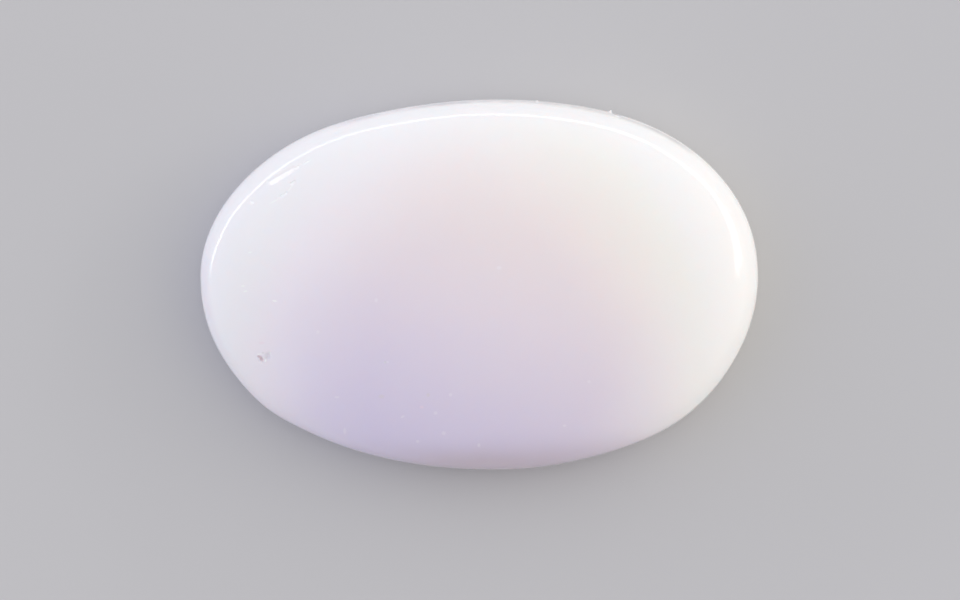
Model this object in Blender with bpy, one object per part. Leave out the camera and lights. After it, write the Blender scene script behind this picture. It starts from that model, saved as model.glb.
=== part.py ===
"""Polished milky opal cabochon: an oval stone ground freehand, 18 mm long, with a low dome and a flat back.

The stone lies on its back, +Z up. The origin is the middle of the flat back, under the middle of the
outline's box. +X is the long way and +Y the side that lay away from the viewer. One solid, in metres.
"""

import math

import bmesh
import bpy

MM = 0.001

# Outline at the girdle, the widest line, seen from above
LENGTH = 18.0 * MM
WIDTH = 11.96 * MM
CREST_X = 0.53 * MM  # the outline is widest, and the dome highest, right of the middle
CREST_Y = 0.26 * MM  # the two tips, and the highest point, lie beyond the middle
# Each quadrant is a superellipse; 2 is a plain ellipse and more is fuller
FULLNESS = {
    "far right": 2.14,
    "far left": 2.00,
    "near left": 2.15,
    "near right": 2.01,
}
# Soft corners that freehand grinding left: direction in degrees, height, half-spread in degrees
SOFT_CORNERS = (
    (41.0, 0.106 * MM, 21.0),
    (146.0, 0.171 * MM, 18.0),
    (210.0, 0.076 * MM, 7.0),
    (323.0, 0.158 * MM, 17.0),
)

# Heights above the flat back
THICKNESS = 3.40 * MM
GIRDLE_HEIGHT = 1.20 * MM
BEVEL_HEIGHT = 0.30 * MM

# Crown: a low dome that rolls over to an upright edge at the girdle
CROWN_POWER = 2.25  # 2 is half an ellipse; more is flatter on top and rounder at the edge
RIM_POWER = 3.0  # how late the crown's level lines change from ellipses to the outline

# Back edge: the side leans in a little under the girdle, then a small bevel
LEAN_INSET = 0.07 * MM
BEVEL_INSET = 0.33 * MM

AROUND = 128
CROWN_RINGS = 28
BACK_RINGS = 3

STONE_COLOUR = (0.83, 0.78, 0.86, 1.0)
STONE_ROUGHNESS = 0.06
OPAL_IOR = 1.45
MILKINESS = 0.8
SCATTER_LENGTH = 0.9 * MM
EDGE_ANGLE = 25.0


def clear_scene():
    for obj in list(bpy.data.objects):
        bpy.data.objects.remove(obj)


def oval_radius(angle):
    """Distance from the crest to the plain oval, in the direction of angle."""
    right = math.cos(angle) >= 0
    far = math.sin(angle) >= 0
    half_length = LENGTH / 2 - CREST_X if right else LENGTH / 2 + CREST_X
    half_width = WIDTH / 2 - CREST_Y if far else WIDTH / 2 + CREST_Y
    power = FULLNESS[("far " if far else "near ") + ("right" if right else "left")]
    along = abs(math.cos(angle)) / half_length
    across = abs(math.sin(angle)) / half_width
    return (along**power + across**power) ** (-1 / power)


def girdle_radius(angle):
    """Distance from the crest to the girdle: the oval with its soft corners."""
    radius = oval_radius(angle)
    for direction, height, spread in SOFT_CORNERS:
        apart = math.remainder(angle - math.radians(direction), math.tau)
        radius += height * math.exp(-((apart / math.radians(spread)) ** 2))
    return radius


def crown_height(angle, reach):
    """Height of the crown; reach is 0 at the crest and 1 at the girdle."""
    radius = reach * girdle_radius(angle)
    ellipse = math.hypot(
        radius * math.cos(angle) / (LENGTH / 2),
        radius * math.sin(angle) / (WIDTH / 2),
    )
    rim = reach**RIM_POWER
    level = math.sqrt((1 - rim) * ellipse**2 + rim * reach**2)
    dome = (1 - min(level, 1.0) ** CROWN_POWER) ** (1 / CROWN_POWER)
    return GIRDLE_HEIGHT + (THICKNESS - GIRDLE_HEIGHT) * dome


def crown_point(angle, ring):
    """A point of the crown; the rings crowd together towards the girdle."""
    reach = math.sin(math.pi / 2 * ring / CROWN_RINGS)
    return reach * girdle_radius(angle), crown_height(angle, reach)


def back_point(angle, ring):
    """A point below the girdle: the bevel's upper edge, then rings on the flat back."""
    if ring == 1:
        return girdle_radius(angle) - LEAN_INSET, BEVEL_HEIGHT
    share = (BACK_RINGS + 2 - ring) / BACK_RINGS
    return (girdle_radius(angle) - BEVEL_INSET) * share, 0.0


def shape_stone(sphere):
    """Moves a sphere's rings onto the crown, from the top pole, and then onto the back."""
    rings = CROWN_RINGS + BACK_RINGS + 2
    for vertex in sphere.verts:
        angle = math.atan2(vertex.co.y, vertex.co.x)
        polar = math.acos(max(-1.0, min(1.0, vertex.co.z)))
        ring = round(polar / math.pi * rings)
        if ring <= CROWN_RINGS:
            radius, height = crown_point(angle, ring)
        else:
            radius, height = back_point(angle, ring - CROWN_RINGS)
        vertex.co.x = CREST_X + radius * math.cos(angle)
        vertex.co.y = CREST_Y + radius * math.sin(angle)
        vertex.co.z = height


def opal_material():
    material = bpy.data.materials.new("milky_opal")
    material.use_nodes = True
    shader = material.node_tree.nodes["Principled BSDF"]
    shader.inputs["Base Color"].default_value = STONE_COLOUR
    shader.inputs["Metallic"].default_value = 0.0
    shader.inputs["Roughness"].default_value = STONE_ROUGHNESS
    shader.inputs["IOR"].default_value = OPAL_IOR
    shader.inputs["Subsurface Weight"].default_value = MILKINESS
    shader.inputs["Subsurface Scale"].default_value = SCATTER_LENGTH
    return material


def build_cabochon(collection):
    sphere = bmesh.new()
    bmesh.ops.create_uvsphere(
        sphere,
        u_segments=AROUND,
        v_segments=CROWN_RINGS + BACK_RINGS + 2,
        radius=1.0,
    )
    shape_stone(sphere)
    bmesh.ops.recalc_face_normals(sphere, faces=sphere.faces)
    mesh = bpy.data.meshes.new("opal_cabochon")
    sphere.to_mesh(mesh)
    sphere.free()
    mesh.shade_smooth()
    mesh.set_sharp_from_angle(angle=math.radians(EDGE_ANGLE))
    mesh.materials.append(opal_material())
    stone = bpy.data.objects.new("opal_cabochon", mesh)
    collection.objects.link(stone)


def main():
    clear_scene()
    collection = bpy.data.collections.new("polished opal cabochon")
    bpy.context.scene.collection.children.link(collection)
    build_cabochon(collection)


main()
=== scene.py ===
"""Looks of the polished milky opal cabochon: its finely ground and polished surface, its marks, its milky
colour, and a plain studio round it. Everything is in metres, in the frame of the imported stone.
"""

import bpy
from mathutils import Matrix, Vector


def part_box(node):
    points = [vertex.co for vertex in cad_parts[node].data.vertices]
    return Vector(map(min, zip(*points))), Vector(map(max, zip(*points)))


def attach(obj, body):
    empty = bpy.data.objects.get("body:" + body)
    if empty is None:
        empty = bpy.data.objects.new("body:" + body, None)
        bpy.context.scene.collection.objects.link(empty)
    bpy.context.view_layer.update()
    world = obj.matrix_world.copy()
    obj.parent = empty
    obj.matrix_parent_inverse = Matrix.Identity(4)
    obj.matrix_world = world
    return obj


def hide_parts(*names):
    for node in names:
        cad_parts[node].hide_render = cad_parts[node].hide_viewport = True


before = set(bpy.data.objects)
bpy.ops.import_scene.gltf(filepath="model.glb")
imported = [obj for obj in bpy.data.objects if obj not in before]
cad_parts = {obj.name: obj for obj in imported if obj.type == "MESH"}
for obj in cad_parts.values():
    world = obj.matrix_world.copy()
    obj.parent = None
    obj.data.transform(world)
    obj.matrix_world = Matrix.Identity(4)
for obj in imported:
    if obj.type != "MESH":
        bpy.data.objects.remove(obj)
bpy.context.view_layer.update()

import math

import bmesh
import bpy
import numpy as np
from mathutils import Vector, noise

MM = 0.001
NODE = "opal_cabochon"
LOW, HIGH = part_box(NODE)
LENGTH = HIGH.x - LOW.x
WIDTH = HIGH.y - LOW.y
THICKNESS = HIGH.z - LOW.z

# Outline at the girdle, the widest line, seen from above
CREST_X = 0.53 * MM  # the outline is widest, and the dome highest, right of the middle
CREST_Y = 0.26 * MM  # the two tips, and the highest point, lie beyond the middle
# Each quadrant is a superellipse; 2 is a plain ellipse and more is fuller
FULLNESS = {
    "far right": 2.14,
    "far left": 2.00,
    "near left": 2.15,
    "near right": 2.01,
}
# Soft corners that freehand grinding left: direction in degrees, height, half-spread in degrees
SOFT_CORNERS = (
    (41.0, 0.106 * MM, 21.0),
    (146.0, 0.171 * MM, 18.0),
    (210.0, 0.076 * MM, 7.0),
    (323.0, 0.158 * MM, 17.0),
)
GIRDLE_HEIGHT = 1.20 * MM
BEVEL_HEIGHT = 0.30 * MM
CROWN_POWER = 2.25  # 2 is half an ellipse; more is flatter on top and rounder at the edge
RIM_POWER = 3.0  # how late the crown's level lines change from ellipses to the outline
LEAN_INSET = 0.07 * MM
BEVEL_INSET = 0.33 * MM

# Fine mesh of the stone
AROUND = 360
CROWN_RINGS = 96
EDGE_RINGS = 26
BACK_RINGS = 12
EDGE_ROUNDING = 0.06 * MM
ROUNDING_STEPS = 6
BACK_RUN = 0.5 * MM  # of the flat back beside the bevel, which gives its rounding a direction
MARK_CUTS = 6  # extra cuts of each mesh edge beside a mark
LOWEST_CUT = BEVEL_HEIGHT * 2
# How far the finer mesh reaches past a mark of the crown, and past twice the half-width of one of the rim,
# in millimetres
MARK_MARGIN = 0.10
RIM_MARGIN = 0.08
FACET_SPACING = 0.12  # largest step between the places that stand for a long facet, in millimetres

# Unevenness that hand polishing leaves, too slight to see except in the highlights
WAVE_HEIGHT = 0.0016 * MM
WAVE_LENGTH = 2.0 * MM
WAVE_POWER = 8  # how late the waves die out towards the girdle

# Chips and pits in the crown: x, y, half-length, half-width (mm), turn (degrees), depth (mm)
HOLLOWS = (
    (-7.03, -2.40, 0.15, 0.105, 75, 0.058),
    (-6.81, -2.33, 0.16, 0.12, 90, 0.036),
    (-7.07, -2.21, 0.10, 0.04, 5, -0.008),
    (-3.02, -2.50, 0.045, 0.040, 0, 0.010),
    (-4.57, -3.62, 0.070, 0.030, 0, 0.004),
    (-3.14, -3.60, 0.080, 0.060, 0, 0.003),
    (4.01, 5.43, 0.035, 0.030, 0, 0.009),
    (4.14, 5.40, 0.040, 0.030, 0, 0.012),
    (4.27, 5.37, 0.040, 0.035, 0, 0.013),
    (4.40, 5.34, 0.040, 0.030, 0, 0.011),
    (4.53, 5.36, 0.055, 0.045, 0, 0.022),
)
# Flat facets that knocks left in the crown, each tilted further down in the direction that it faces:
# x, y, half-length, half-width (mm), direction, extra slope (degrees)
FACETS = (
    (-6.345, 3.462, 0.540, 0.078, 120.5, 9.0),
    (-5.860, 3.745, 0.085, 0.040, 120.0, 11.2),
    (-5.600, 3.900, 0.150, 0.028, 122.0, 11.0),
    (-6.025, 3.227, 0.060, 0.042, 118.0, 18.0),
    (-5.943, 3.279, 0.050, 0.038, 118.0, 18.0),
    (-6.295, 2.855, 0.150, 0.044, 123.0, 19.5),
    (-7.317, 2.620, 0.055, 0.050, 143.0, 10.0),
    (-6.910, -2.390, 0.035, 0.035, 125.0, 30.0),
    (-6.895, -2.450, 0.035, 0.035, 125.0, 30.0),
    (-6.930, -2.510, 0.030, 0.030, 125.0, 30.0),
    (-6.730, -2.190, 0.030, 0.030, 140.0, 30.0),
)
FACET_FLATNESS = 0.5  # how much the crown curves near its edge, per millimetre, which a flat facet takes away
FACET_WOBBLE = 0.016  # how far a facet's edges wander, in millimetres
WOBBLE_CELLS = 7  # of the noise that moves them, per millimetre
STEP_LENGTH = 0.9  # of the step back at a facet's foot, in half-widths of the facet
END_STEEPNESS = 6  # a facet fades out over the last sixth of its half-length
# Burrs and nicks of the girdle: direction (degrees), height, half-width, half-height, push outwards (mm)
RIM_MARKS = (
    (55.2, 1.32, 0.042, 0.14, 0.085),
    (53.2, 1.36, 0.120, 0.22, -0.030),
    (76.7, 1.30, 0.035, 0.10, 0.025),
)
RIM_REACH = 3  # in half-widths of such a mark, past which it moves nothing

# Photograph: the frame is 960 pixels wide and the stone 557
FRAME_WIDTH = 31.02 * MM
CAMERA_X = 0.025 * MM
CAMERA_Y = -0.50 * MM
CAMERA_DISTANCE = 250 * MM
SENSOR_WIDTH = 36.0
CLIP_START = 0.01
CLIP_END = 10.0

# Body colours of the opal, partly its own milky tint and partly painted light and shade: lighter at the rim,
# darker and more lavender towards the near left, cream towards the far right
COOL_WHITE = (0.972, 0.93, 0.975)
WARM_WHITE = (0.99, 0.978, 0.938)
BLUSH = (0.888, 0.812, 0.808)
CREAM = (0.99, 0.86, 0.79)
LAVENDER = (0.731, 0.686, 0.880)
# Painted shade: the near rim is darker where it faces away from the light
NEAR_EDGE_SHADE = (0.645, 0.575, 0.655)
# Grey of the painted shade on the steep band above the girdle, and of the greyer girdle under it
EDGE_SHADE_GREY = (0.60, 0.59, 0.615)

# Zones of the body's colours and of its painted light and shade, in millimetres along x, y and z; each pair
# is where a zone starts and is full
COOL_TO_WARM_X = (-8.0, 5.5)
BODY_SLANT = 0.34  # how much x adds to y before the body turns from blush to lavender
BLUSH_TO_LAVENDER_Y = (4.25, -9.0)
BODY_MIDDLE_Y = -1.96
BODY_HALF_LENGTH = 9.0
BODY_HALF_WIDTH = 10.4
BODY_LEAN = 0.012  # how much sooner the white starts on the far side, per millimetre
# From the body's middle, as shares of its half-length and half-width
WHITE_REACH = (0.335, 0.99)
CREAM_REACH = (0.35, 0.62)
CREAM_END_REACH = (0.92, 0.72)
CREAM_X = (0.0, 4.0)
CREAM_Y = (-2.5, 1.5)
CREAM_STRENGTH = 0.3
# Where the near rim's painted shade lies and fades
NEAR_EDGE_MIDDLE_X = 1.2
NEAR_EDGE_BEND = 0.025  # how fast the near edge's zone gives out to either side, per millimetre
NEAR_EDGE_Y = (-4.2, -6.0)
NEAR_EDGE_Z = (2.8, 1.9)
CLOUD_CELLS = 0.30  # of the noise that pushes the zones, per millimetre
CLOUD_DETAIL = 2.0
CLOUD_PUSH = 0.9  # how far it pushes them, in millimetres

# The grey line of painted shade on the steep band just above the girdle, and the greyer girdle under it
LINE_TOP_Z = (1.90, 1.68)
LINE_FOOT_Z = (1.42, 1.64)
LINE_FAR_Y = (2.8, 4.8)
LINE_FAR_X = (-6.5, -2.0)
LINE_LEFT_X = (-7.8, -8.8)
LINE_LEFT_STRENGTH = 0.25
LINE_STRENGTH = 0.80
LINE_BREAKUP_CELLS = 0.8  # of the noise that breaks the line up, per millimetre
LINE_BREAKUP_DETAIL = 2.0
LINE_BREAKUP_RANGE = (0.15, 0.75)
GIRDLE_Z = (1.75, 1.30)
GIRDLE_X = (6.0, -2.0)
GIRDLE_STRENGTH = 0.14

# Gloss: the crown is polished, and the side and the back were only ground fine
POLISHED_ROUGHNESS = 0.02
GROUND_EXTRA_ROUGHNESS = 0.20
GROUND_Z = (1.30, 1.10)
UNEVEN_ROUGHNESS = 0.05
UNEVEN_CELLS = 2.5
UNEVEN_DETAIL = 4.0

# Milky opal
OPAL_IOR = 1.45
MILKINESS = 0.9
SCATTER_LENGTH = 1.0 * MM
SCATTER_COLOURS = (1.0, 0.85, 0.8)

# Tints of the small marks, and how strongly each covers the body; some white marks are painted highlight on
# glinting facets
MARK_TINTS = {
    "white": ((1.0, 0.99, 1.0), 0.95),
    "pale": ((0.95, 0.93, 0.98), 0.30),
    "mauve": ((0.70, 0.59, 0.63), 0.90),
    "grey": ((0.78, 0.76, 0.79), 0.60),
    "tan": ((0.74, 0.70, 0.66), 0.32),
    "pink": ((0.93, 0.77, 0.85), 0.36),
    "blue": ((0.92, 0.91, 1.0), 0.35),
}
# Small marks: tint, then x, y, half-length, half-width (mm) and turn (degrees)
MARKS = (
    ("grey", -6.82, -2.30, 0.14, 0.11, 90),
    ("grey", -6.745, -2.31, 0.08, 0.025, 90),
    ("grey", -6.96, -2.20, 0.05, 0.04, 0),
    ("grey", -3.02, -2.50, 0.05, 0.045, 0),
    ("grey", 4.55, 5.43, 0.05, 0.05, 0),
    ("mauve", -7.09, -2.32, 0.07, 0.045, -15),
    ("mauve", -7.01, -2.40, 0.10, 0.055, 100),
    # Painted highlight: the next two white marks brighten the crescent where the pit's facets glint
    ("white", -6.925, -2.36, 0.05, 0.028, 110),
    ("white", -6.875, -2.45, 0.06, 0.036, 85),
    ("white", -7.07, -2.24, 0.09, 0.024, 5),
    # Painted highlight on a small glinting facet beside the pit
    ("white", -6.73, -2.20, 0.042, 0.034, 0),
    ("pale", -6.98, -2.55, 0.09, 0.04, 15),
    ("pale", -6.70, -2.33, 0.12, 0.02, 90),
    ("pink", -6.99, -1.88, 0.10, 0.05, 0),
    # Painted highlight: the next seven white marks lie along the glints of the streak and the crack, most of
    # them on glinting facets
    ("white", -6.345, 3.475, 0.53, 0.080, 30.5),
    ("white", -5.82, 3.79, 0.11, 0.036, 10),
    ("white", -5.52, 3.94, 0.18, 0.026, 34),
    ("white", -5.99, 3.27, 0.11, 0.024, 28),
    ("white", -6.295, 2.855, 0.12, 0.022, 33),
    ("white", -6.58, 2.68, 0.20, 0.022, 29),
    ("white", -6.06, 3.11, 0.20, 0.022, 55),
    ("pale", -6.79, 2.57, 0.07, 0.04, 0),
    # Painted highlight on a small glinting facet
    ("white", -7.32, 2.63, 0.07, 0.038, 50),
    ("pale", -2.94, -2.49, 0.045, 0.04, 0),
    ("pale", -4.57, -3.62, 0.085, 0.036, 0),
    ("pale", -4.60, -3.62, 0.060, 0.030, 0),
    ("tan", -3.14, -3.60, 0.10, 0.07, 0),
    ("pale", -1.14, -4.78, 0.075, 0.070, 0),
    ("pale", -1.98, -5.05, 0.060, 0.055, 0),
    ("pale", -0.01, -5.17, 0.055, 0.070, 0),
    ("pale", -1.40, -4.13, 0.070, 0.060, 0),
    ("pale", -0.92, -3.54, 0.060, 0.070, 0),
    ("pale", -2.46, -4.25, 0.080, 0.040, 30),
    ("pale", -4.33, -4.72, 0.050, 0.120, 0),
    ("pink", -1.85, -3.94, 0.075, 0.050, 0),
    ("tan", -1.64, -3.55, 0.060, 0.070, 0),
    ("pale", 3.52, -3.12, 0.060, 0.055, 0),
    ("pale", 2.74, -4.54, 0.060, 0.050, 0),
    ("pale", 0.64, 0.53, 0.090, 0.060, 0),
    ("white", -6.57, -0.53, 0.085, 0.035, -10),
    ("white", -7.52, -0.22, 0.080, 0.030, 10),
    ("white", -7.60, -0.05, 0.060, 0.028, 5),
    ("white", -7.37, 1.03, 0.080, 0.030, 15),
    ("pale", -3.30, -0.51, 0.060, 0.070, 0),
    ("pale", -5.18, -1.53, 0.060, 0.060, 0),
    ("blue", -6.79, 1.73, 0.200, 0.130, 0),
    ("white", 4.45, 5.44, 0.080, 0.040, -20),
    ("white", 1.87, 5.90, 0.060, 0.035, -10),
)

MARK_HEIGHT = 0.6  # half-height of the space that a small mark's tint fills, in millimetres
MARK_FADE = (1.25, 0.45)  # where a mark starts and is full, as shares of its half-size

# Floor under the stone
FLOOR_SIZE = 2.0
FLOOR_GAP = 0.02 * MM
FLOOR_COLOUR = (0.58, 0.58, 0.59, 1.0)
FLOOR_ROUGHNESS = 0.9
FLOOR_SPECULAR = 0.2

# Studio light: an even sky, and soft glows as azimuth, elevation (degrees) and colour
SKY_LEVEL = 0.46
GLOW_SHARPNESS = 3.0
SKY_GLOWS = [
    (50, 35, (0.17, 0.17, 0.11)),
    (0, 20, (1.06, 0.955, 0.88)),
    (90, 20, (0.09, 0.11, 0.20)),
    (172, 20, (0.71, 0.73, 0.95)),
]
# A long strip of light round the far side: azimuth, lower edge, upper edge (degrees) and relative brightness
STRIP_EDGES = (
    (0, 25.5, 28.5, 0.5),
    (4, 13.0, 27.5, 1.0),
    (22, 11.4, 23.2, 1.0),
    (35, 11.8, 19.5, 1.0),
    (55, 13.0, 18.3, 1.0),
    (65, 10.6, 15.8, 1.0),
    (93, 3.5, 7.5, 1.1),
    (112, 7.5, 11.5, 1.1),
    (122, 12.5, 16.2, 1.15),
    (136, 13.2, 17.2, 1.3),
    (150, 11.2, 16.0, 1.4),
    (163, 10.6, 15.6, 1.55),
    (171, 7.0, 12.5, 1.55),
    (180, 3.0, 9.0, 0.5),
)
STRIP_PANELS = 45
STRIP_DISTANCE = 400 * MM
STRIP_RADIANCE = 3.24


def oval_radius(angle):
    """Distance from the crest to the plain oval, in the direction of angle."""
    right = math.cos(angle) >= 0
    far = math.sin(angle) >= 0
    half_length = LENGTH / 2 - CREST_X if right else LENGTH / 2 + CREST_X
    half_width = WIDTH / 2 - CREST_Y if far else WIDTH / 2 + CREST_Y
    power = FULLNESS[("far " if far else "near ") + ("right" if right else "left")]
    along = abs(math.cos(angle)) / half_length
    across = abs(math.sin(angle)) / half_width
    return (along**power + across**power) ** (-1 / power)


def girdle_radius(angle):
    """Distance from the crest to the girdle: the oval with its soft corners."""
    radius = oval_radius(angle)
    for direction, height, spread in SOFT_CORNERS:
        apart = math.remainder(angle - math.radians(direction), math.tau)
        radius += height * math.exp(-((apart / math.radians(spread)) ** 2))
    return radius


def crown_height(angle, reach):
    """Height of the crown; reach is 0 at the crest and 1 at the girdle."""
    radius = reach * girdle_radius(angle)
    ellipse = math.hypot(
        radius * math.cos(angle) / (LENGTH / 2),
        radius * math.sin(angle) / (WIDTH / 2),
    )
    rim = reach**RIM_POWER
    level = math.sqrt((1 - rim) * ellipse**2 + rim * reach**2)
    dome = (1 - min(level, 1.0) ** CROWN_POWER) ** (1 / CROWN_POWER)
    return GIRDLE_HEIGHT + (THICKNESS - GIRDLE_HEIGHT) * dome


def edge_profile():
    """The side below the girdle as (inset, height) points, with both edges of the bevel slightly rounded."""
    corners = [
        (0.0, GIRDLE_HEIGHT),
        (LEAN_INSET, BEVEL_HEIGHT),
        (BEVEL_INSET, 0.0),
        (BEVEL_INSET + BACK_RUN, 0.0),
    ]
    points = []
    for before, corner, after in zip(corners, corners[1:], corners[2:]):
        before, corner, after = Vector(before), Vector(corner), Vector(after)
        start = corner + (before - corner).normalized() * EDGE_ROUNDING
        end = corner + (after - corner).normalized() * EDGE_ROUNDING
        for step in range(ROUNDING_STEPS + 1):
            share = step / ROUNDING_STEPS
            inner = start.lerp(corner, share)
            outer = corner.lerp(end, share)
            points.append(tuple(inner.lerp(outer, share)))
    upper = points[0]
    side_rings = EDGE_RINGS - len(points)
    side = []
    for step in range(1, side_rings + 1):
        share = step / (side_rings + 1)
        side.append((upper[0] * share, GIRDLE_HEIGHT + (upper[1] - GIRDLE_HEIGHT) * share))
    return side + points


def shape_stone(sphere):
    """Moves a sphere's rings onto the crown, from the top pole, then the side, the bevel and the back."""
    rings = CROWN_RINGS + EDGE_RINGS + BACK_RINGS
    profile = edge_profile()
    back_inset = profile[-1][0]
    for vertex in sphere.verts:
        angle = math.atan2(vertex.co.y, vertex.co.x)
        polar = math.acos(max(-1.0, min(1.0, vertex.co.z)))
        ring = round(polar / math.pi * rings)
        if ring <= CROWN_RINGS:
            reach = math.sin(math.pi / 2 * ring / CROWN_RINGS)
            radius, height = reach * girdle_radius(angle), crown_height(angle, reach)
        elif ring <= CROWN_RINGS + EDGE_RINGS:
            inset, height = profile[ring - CROWN_RINGS - 1]
            radius = girdle_radius(angle) - inset
        else:
            share = (rings - ring) / BACK_RINGS
            radius, height = (girdle_radius(angle) - back_inset) * share, 0.0
        vertex.co.x = CREST_X + radius * math.cos(angle)
        vertex.co.y = CREST_Y + radius * math.sin(angle)
        vertex.co.z = height


def marked_places():
    """Where the mesh needs finer faces, as (x, y, reach) in metres."""
    places = [(x * MM, y * MM, (long + MARK_MARGIN) * MM) for x, y, long, *_ in HOLLOWS]
    for middle_x, middle_y, half_length, half_width, direction, _ in FACETS:
        way = math.radians(direction)
        steps = 2 * math.ceil(half_length / FACET_SPACING) + 1
        for along in np.linspace(-half_length, half_length, steps):
            x = (middle_x - along * math.sin(way)) * MM
            y = (middle_y + along * math.cos(way)) * MM
            places.append((x, y, (half_width + MARK_MARGIN) * MM))
    for direction, _, half_width, _, _ in RIM_MARKS:
        angle = math.radians(direction)
        radius = girdle_radius(angle)
        x = CREST_X + radius * math.cos(angle)
        y = CREST_Y + radius * math.sin(angle)
        places.append((x, y, (half_width * 2 + RIM_MARGIN) * MM))
    return places


def refine_marks(sphere):
    """Cuts the faces near the marks finer."""
    places = marked_places()
    edges = set()
    for face in sphere.faces:
        middle = face.calc_center_median()
        if middle.z < LOWEST_CUT:
            continue
        if any(math.hypot(middle.x - x, middle.y - y) < reach for x, y, reach in places):
            edges.update(face.edges)
    bmesh.ops.subdivide_edges(sphere, edges=list(edges), cuts=MARK_CUTS, use_grid_fill=True)


def hollow_depth(x, y):
    """Depth of the chips and pits at a point of the crown, all in millimetres."""
    total = 0.0
    for middle_x, middle_y, long, wide, turn, depth in HOLLOWS:
        if abs(x - middle_x) > long or abs(y - middle_y) > long:
            continue
        cosine, sine = math.cos(math.radians(turn)), math.sin(math.radians(turn))
        along = ((x - middle_x) * cosine + (y - middle_y) * sine) / long
        across = ((y - middle_y) * cosine - (x - middle_x) * sine) / wide
        total += depth * max(0.0, 1 - along**2 - across**2) ** 2
    return total


def facet_depth(x, y):
    """Depth of the facets at a point of the crown, in millimetres: a slow ramp, then a short step back."""
    total = 0.0
    for middle_x, middle_y, half_length, half_width, direction, slope in FACETS:
        way = math.radians(direction)
        down = (x - middle_x) * math.cos(way) + (y - middle_y) * math.sin(way)
        along = abs((y - middle_y) * math.cos(way) - (x - middle_x) * math.sin(way))
        if along > half_length or abs(down) > 2 * half_width + FACET_WOBBLE:
            continue
        down += FACET_WOBBLE * noise.noise(Vector((x, y, 0)) * WOBBLE_CELLS)
        rise = math.tan(math.radians(slope))
        bottom = 2 * half_width * rise
        ramp = rise * (down + half_width) + FACET_FLATNESS * (half_width**2 - down**2) / 2
        step = bottom * (1 - (down - half_width) / (STEP_LENGTH * half_width))
        ends = min(1.0, END_STEEPNESS * (1 - along / half_length))
        total += max(0.0, min(ramp, step)) * ends
    return total


def rim_push(angle, height):
    """How far the burrs and nicks move the girdle outwards, in metres."""
    total = 0.0
    for direction, middle, half_width, half_height, push in RIM_MARKS:
        along = math.remainder(angle - math.radians(direction), math.tau) * girdle_radius(angle) / MM
        if abs(along) > RIM_REACH * half_width:
            continue
        up = height / MM - middle
        total += push * MM * math.exp(-((along / half_width) ** 2) - (up / half_height) ** 2)
    return total


def lay_crown(sphere):
    """Sets every vertex of the crown on its law, with the polishing waves, chips and facets, then the rim."""
    for vertex in sphere.verts:
        x, y = vertex.co.x - CREST_X, vertex.co.y - CREST_Y
        angle = math.atan2(y, x)
        if vertex.co.z > GIRDLE_HEIGHT:
            reach = min(1.0, math.hypot(x, y) / girdle_radius(angle))
            wave = noise.noise(vertex.co.xyz / WAVE_LENGTH) * WAVE_HEIGHT * (1 - reach**WAVE_POWER)
            place = vertex.co.x / MM, vertex.co.y / MM
            marks = hollow_depth(*place) + facet_depth(*place)
            vertex.co.z = crown_height(angle, reach) + wave - marks * MM
        push = rim_push(angle, vertex.co.z)
        vertex.co.x += push * math.cos(angle)
        vertex.co.y += push * math.sin(angle)


def make_stone(material):
    sphere = bmesh.new()
    bmesh.ops.create_uvsphere(
        sphere,
        u_segments=AROUND,
        v_segments=CROWN_RINGS + EDGE_RINGS + BACK_RINGS,
        radius=1.0,
    )
    shape_stone(sphere)
    refine_marks(sphere)
    lay_crown(sphere)
    bmesh.ops.recalc_face_normals(sphere, faces=sphere.faces)
    mesh = bpy.data.meshes.new("polished_opal")
    sphere.to_mesh(mesh)
    sphere.free()
    mesh.shade_smooth()
    mesh.materials.append(material)
    stone = bpy.data.objects.new("polished_opal", mesh)
    bpy.context.scene.collection.objects.link(stone)
    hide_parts(NODE)
    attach(stone, "root")


def math_node(tree, operation, first, second=None):
    """A Math node's output; first and second are sockets or plain numbers."""
    node = tree.nodes.new("ShaderNodeMath")
    node.operation = operation
    for socket, value in zip(node.inputs, (first, second)):
        if isinstance(value, bpy.types.NodeSocket):
            tree.links.new(value, socket)
        elif value is not None:
            socket.default_value = value
    return node.outputs["Value"]


def product(tree, first, *others):
    """The product of two or more sockets and plain numbers, the first of them a socket."""
    for other in others:
        first = math_node(tree, "MULTIPLY", first, other)
    return first


def fade(tree, value, start, end):
    """0 below start and 1 above end, with a smooth rise; start may be the larger, for a fall."""
    node = tree.nodes.new("ShaderNodeMapRange")
    node.interpolation_type = "SMOOTHSTEP"
    tree.links.new(value, node.inputs["Value"])
    node.inputs["From Min"].default_value = start
    node.inputs["From Max"].default_value = end
    return node.outputs["Result"]


def mix_colour(tree, share, first, second):
    """Mixes two colours, each a socket or three numbers; share is a socket from 0 to 1."""
    node = tree.nodes.new("ShaderNodeMix")
    node.data_type = "RGBA"
    tree.links.new(share, node.inputs["Factor"])
    for name, colour in (("A", first), ("B", second)):
        socket = [entry for entry in node.inputs if entry.name == name and entry.type == "RGBA"][0]
        if isinstance(colour, bpy.types.NodeSocket):
            tree.links.new(colour, socket)
        else:
            socket.default_value = (*colour, 1.0)
    return [entry for entry in node.outputs if entry.type == "RGBA"][0]


def position_mm(tree):
    """Where a point of the surface lies in the stone's own frame, in millimetres."""
    coordinates = tree.nodes.new("ShaderNodeTexCoord")
    millimetres = tree.nodes.new("ShaderNodeVectorMath")
    millimetres.operation = "SCALE"
    millimetres.inputs["Scale"].default_value = 1 / MM
    tree.links.new(coordinates.outputs["Object"], millimetres.inputs[0])
    return millimetres.outputs["Vector"]


def noise_node(tree, position, scale, detail, output):
    """A Noise texture's output, Fac from 0 to 1 or Color; scale is in cells per millimetre."""
    node = tree.nodes.new("ShaderNodeTexNoise")
    node.inputs["Scale"].default_value = scale
    node.inputs["Detail"].default_value = detail
    tree.links.new(position, node.inputs["Vector"])
    return node.outputs[output]


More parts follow.
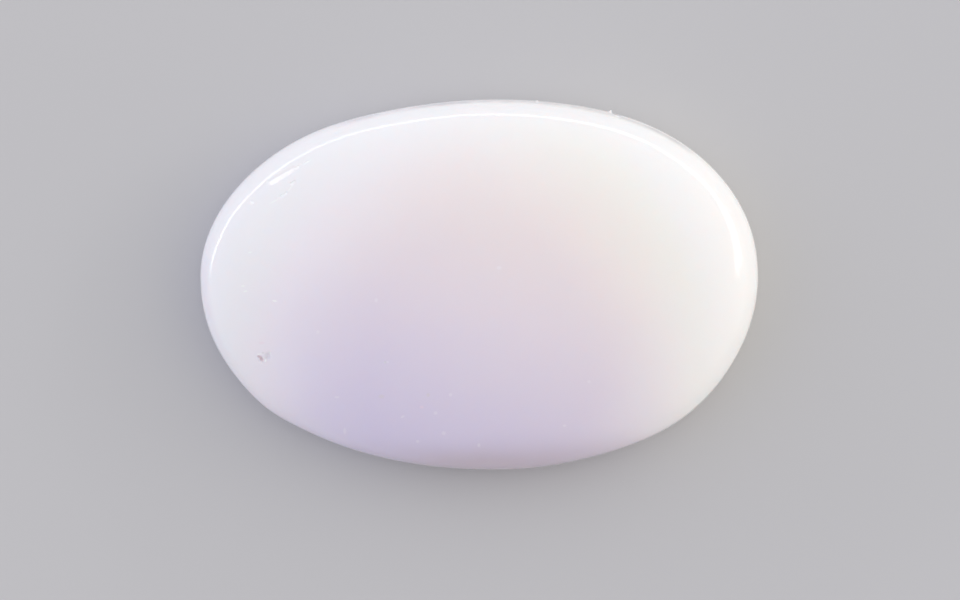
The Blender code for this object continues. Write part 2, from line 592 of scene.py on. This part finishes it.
def cloudy(tree, position):
    """The position pushed about a little, so that no zone of colour has a ruled edge."""
    centred = tree.nodes.new("ShaderNodeVectorMath")
    centred.operation = "SUBTRACT"
    centred.inputs[1].default_value = (0.5, 0.5, 0.5)
    tree.links.new(noise_node(tree, position, CLOUD_CELLS, CLOUD_DETAIL, "Color"), centred.inputs[0])
    push = tree.nodes.new("ShaderNodeVectorMath")
    push.operation = "MULTIPLY_ADD"
    push.inputs[1].default_value = (CLOUD_PUSH, CLOUD_PUSH, CLOUD_PUSH)
    tree.links.new(centred.outputs["Vector"], push.inputs[0])
    tree.links.new(position, push.inputs[2])
    return push.outputs["Vector"]


def separate(tree, vector):
    """A vector's x, y and z."""
    node = tree.nodes.new("ShaderNodeSeparateXYZ")
    tree.links.new(vector, node.inputs["Vector"])
    return node.outputs["X"], node.outputs["Y"], node.outputs["Z"]


def body_reach(tree, x, y):
    """How far a point lies from the body's middle: 1 is a half-length or half-width away."""
    long = math_node(tree, "DIVIDE", x, BODY_HALF_LENGTH)
    wide = math_node(tree, "DIVIDE", math_node(tree, "ADD", y, -BODY_MIDDLE_Y), BODY_HALF_WIDTH)
    squares = math_node(tree, "ADD", math_node(tree, "POWER", wide, 2.0), math_node(tree, "POWER", long, 2.0))
    return math_node(tree, "ADD", math_node(tree, "SQRT", squares), product(tree, y, BODY_LEAN))


def body_colour_and_shade(tree, position):
    """Pearly white at the rim, cool at the left and warm at the right, round a blush and lavender body, with
    painted shade along the near rim. The lighter rim and the darker lavender towards the near left are partly
    the opal's own tint and partly painted light and shade.
    """
    x, y, z = separate(tree, cloudy(tree, position))
    whites = mix_colour(tree, fade(tree, x, *COOL_TO_WARM_X), COOL_WHITE, WARM_WHITE)
    slant = math_node(tree, "ADD", product(tree, x, BODY_SLANT), y)
    body = mix_colour(tree, fade(tree, slant, *BLUSH_TO_LAVENDER_Y), BLUSH, LAVENDER)
    reach = body_reach(tree, x, y)
    colour = mix_colour(tree, fade(tree, reach, *WHITE_REACH), body, whites)
    band = product(tree, fade(tree, reach, *CREAM_REACH), fade(tree, reach, *CREAM_END_REACH))
    far_right = product(tree, fade(tree, x, *CREAM_X), fade(tree, y, *CREAM_Y))
    colour = mix_colour(tree, product(tree, band, far_right, CREAM_STRENGTH), colour, CREAM)
    # Painted shade along the near rim, which faces away from the light
    aside = math_node(tree, "POWER", math_node(tree, "ADD", x, -NEAR_EDGE_MIDDLE_X), 2.0)
    near = math_node(tree, "ADD", y, product(tree, aside, NEAR_EDGE_BEND))
    low = product(tree, fade(tree, z, *NEAR_EDGE_Z), fade(tree, near, *NEAR_EDGE_Y))
    return mix_colour(tree, low, colour, NEAR_EDGE_SHADE)


def mark_mask(tree, position, x, y, long, wide, turn):
    """1 inside a small oval on the crown, and 0 a little outside it."""
    across, along = x * MM - CREST_X, y * MM - CREST_Y
    angle = math.atan2(along, across)
    reach = min(1.0, math.hypot(across, along) / girdle_radius(angle))
    oval = tree.nodes.new("ShaderNodeMapping")
    oval.vector_type = "TEXTURE"
    oval.inputs["Location"].default_value = (x, y, crown_height(angle, reach) / MM)
    oval.inputs["Rotation"].default_value = (0.0, 0.0, math.radians(turn))
    oval.inputs["Scale"].default_value = (long, wide, MARK_HEIGHT)
    tree.links.new(position, oval.inputs["Vector"])
    length = tree.nodes.new("ShaderNodeVectorMath")
    length.operation = "LENGTH"
    tree.links.new(oval.outputs["Vector"], length.inputs[0])
    return fade(tree, length.outputs["Value"], *MARK_FADE)


def marked_colour(tree, position, colour):
    """Lays the small marks over the body, one tint after another; some white ones are painted highlight."""
    for tint, (tone, strength) in MARK_TINTS.items():
        mask = None
        for name, *oval in MARKS:
            if name == tint:
                share = mark_mask(tree, position, *oval)
                mask = share if mask is None else math_node(tree, "MAXIMUM", mask, share)
        colour = mix_colour(tree, product(tree, mask, strength), colour, tone)
    return colour


def girdle_line(tree, position):
    """A thin grey line of painted shade on the steep band just above the girdle, plainest on the far side,
    and the greyer girdle under it.
    """
    x, y, z = separate(tree, position)
    broken_up = fade(tree, noise_node(tree, position, LINE_BREAKUP_CELLS, LINE_BREAKUP_DETAIL, "Fac"), *LINE_BREAKUP_RANGE)
    left = product(tree, fade(tree, x, *LINE_LEFT_X), LINE_LEFT_STRENGTH)
    far = product(tree, fade(tree, y, *LINE_FAR_Y), fade(tree, x, *LINE_FAR_X))
    side = math_node(tree, "MAXIMUM", far, left)
    line = product(tree, fade(tree, z, *LINE_TOP_Z), fade(tree, z, *LINE_FOOT_Z), side, broken_up, LINE_STRENGTH)
    girdle = product(tree, fade(tree, z, *GIRDLE_Z), fade(tree, x, *GIRDLE_X), GIRDLE_STRENGTH)
    return math_node(tree, "MAXIMUM", girdle, line)


def opal_material():
    material = bpy.data.materials.new("milky_opal_look")
    material.use_nodes = True
    tree = material.node_tree
    shader = tree.nodes["Principled BSDF"]
    position = position_mm(tree)
    z = separate(tree, position)[2]
    # The grey line of painted shade above the girdle is laid over the body's colour
    colour = mix_colour(tree, girdle_line(tree, position), body_colour_and_shade(tree, position), EDGE_SHADE_GREY)
    tree.links.new(marked_colour(tree, position, colour), shader.inputs["Base Color"])
    ground = product(tree, fade(tree, z, *GROUND_Z), GROUND_EXTRA_ROUGHNESS)
    uneven = product(tree, noise_node(tree, position, UNEVEN_CELLS, UNEVEN_DETAIL, "Fac"), UNEVEN_ROUGHNESS)
    roughness = math_node(tree, "ADD", math_node(tree, "ADD", ground, uneven), POLISHED_ROUGHNESS)
    tree.links.new(roughness, shader.inputs["Roughness"])
    shader.subsurface_method = "RANDOM_WALK"
    shader.inputs["IOR"].default_value = OPAL_IOR
    shader.inputs["Subsurface Weight"].default_value = MILKINESS
    shader.inputs["Subsurface Radius"].default_value = SCATTER_COLOURS
    shader.inputs["Subsurface Scale"].default_value = SCATTER_LENGTH
    return material


def make_floor():
    bpy.ops.mesh.primitive_plane_add(size=FLOOR_SIZE, location=(0, 0, -FLOOR_GAP))
    floor = bpy.context.object
    floor.name = "floor"
    material = bpy.data.materials.new("pale_floor")
    material.use_nodes = True
    shader = material.node_tree.nodes["Principled BSDF"]
    shader.inputs["Base Color"].default_value = FLOOR_COLOUR
    shader.inputs["Roughness"].default_value = FLOOR_ROUGHNESS
    shader.inputs["Specular IOR Level"].default_value = FLOOR_SPECULAR
    floor.data.materials.append(material)


def make_camera():
    data = bpy.data.cameras.new("camera")
    data.sensor_width = SENSOR_WIDTH
    data.lens = SENSOR_WIDTH * (CAMERA_DISTANCE - GIRDLE_HEIGHT) / FRAME_WIDTH
    data.clip_start = CLIP_START
    data.clip_end = CLIP_END
    camera = bpy.data.objects.new("camera", data)
    camera.location = (CAMERA_X, CAMERA_Y, CAMERA_DISTANCE)
    bpy.context.scene.collection.objects.link(camera)
    bpy.context.scene.camera = camera


def studio_direction(azimuth, elevation):
    """Unit vector towards a place in the studio; azimuth 0 is +X and 90 is +Y, in degrees."""
    turn = math.radians(azimuth)
    rise = math.radians(elevation)
    return Vector((math.cos(turn) * math.cos(rise), math.sin(turn) * math.cos(rise), math.sin(rise)))


def area_light(name, azimuth, elevation, distance, width, height, radiance):
    """A rectangular panel that faces the stone; radiance is how bright its face looks."""
    data = bpy.data.lights.new(name, "AREA")
    data.shape = "RECTANGLE"
    data.size = width
    data.size_y = height
    data.energy = radiance * math.pi * width * height
    light = bpy.data.objects.new(name, data)
    place = studio_direction(azimuth, elevation)
    light.location = place * distance
    light.rotation_euler = place.to_track_quat("Z", "Y").to_euler()
    light.visible_camera = False
    bpy.context.scene.collection.objects.link(light)


def make_sky():
    """An even studio sky with wide soft glows, none of which has an edge for the dome to mirror."""
    world = bpy.data.worlds.new("studio")
    bpy.context.scene.world = world
    world.use_nodes = True
    tree = world.node_tree
    coordinates = tree.nodes.new("ShaderNodeTexCoord")
    total = None
    for azimuth, elevation, colour in SKY_GLOWS:
        facing = tree.nodes.new("ShaderNodeVectorMath")
        facing.operation = "DOT_PRODUCT"
        facing.inputs[1].default_value = studio_direction(azimuth, elevation)
        tree.links.new(coordinates.outputs["Generated"], facing.inputs[0])
        lit = math_node(tree, "MAXIMUM", facing.outputs["Value"], 0.0)
        glow = tree.nodes.new("ShaderNodeVectorMath")
        glow.operation = "MULTIPLY_ADD"
        tree.links.new(math_node(tree, "POWER", lit, GLOW_SHARPNESS), glow.inputs[0])
        glow.inputs[1].default_value = colour
        if total is None:
            glow.inputs[2].default_value = (SKY_LEVEL, SKY_LEVEL, SKY_LEVEL)
        else:
            tree.links.new(total, glow.inputs[2])
        total = glow.outputs["Vector"]
    tree.links.new(total, tree.nodes["Background"].inputs["Color"])
    tree.nodes["Background"].inputs["Strength"].default_value = 1.0


def make_strip():
    """Panels side by side round the far side; the rolled edge of the crown mirrors them as one thin line."""
    azimuths, lower_edges, upper_edges, brightness = zip(*STRIP_EDGES)
    step = (azimuths[-1] - azimuths[0]) / STRIP_PANELS
    for index in range(STRIP_PANELS):
        azimuth = azimuths[0] + step * (index + 0.5)
        lower = float(np.interp(azimuth, azimuths, lower_edges))
        upper = float(np.interp(azimuth, azimuths, upper_edges))
        radiance = STRIP_RADIANCE * float(np.interp(azimuth, azimuths, brightness))
        middle = (lower + upper) / 2
        width = STRIP_DISTANCE * math.radians(step) * math.cos(math.radians(middle))
        height = STRIP_DISTANCE * math.radians(upper - lower)
        area_light(f"strip_{index}", azimuth, middle, STRIP_DISTANCE, width, height, radiance)


def make_lights():
    make_sky()
    make_strip()


def set_view():
    bpy.context.scene.view_settings.view_transform = "Standard"


make_camera()
make_floor()
make_lights()
set_view()
make_stone(opal_material())
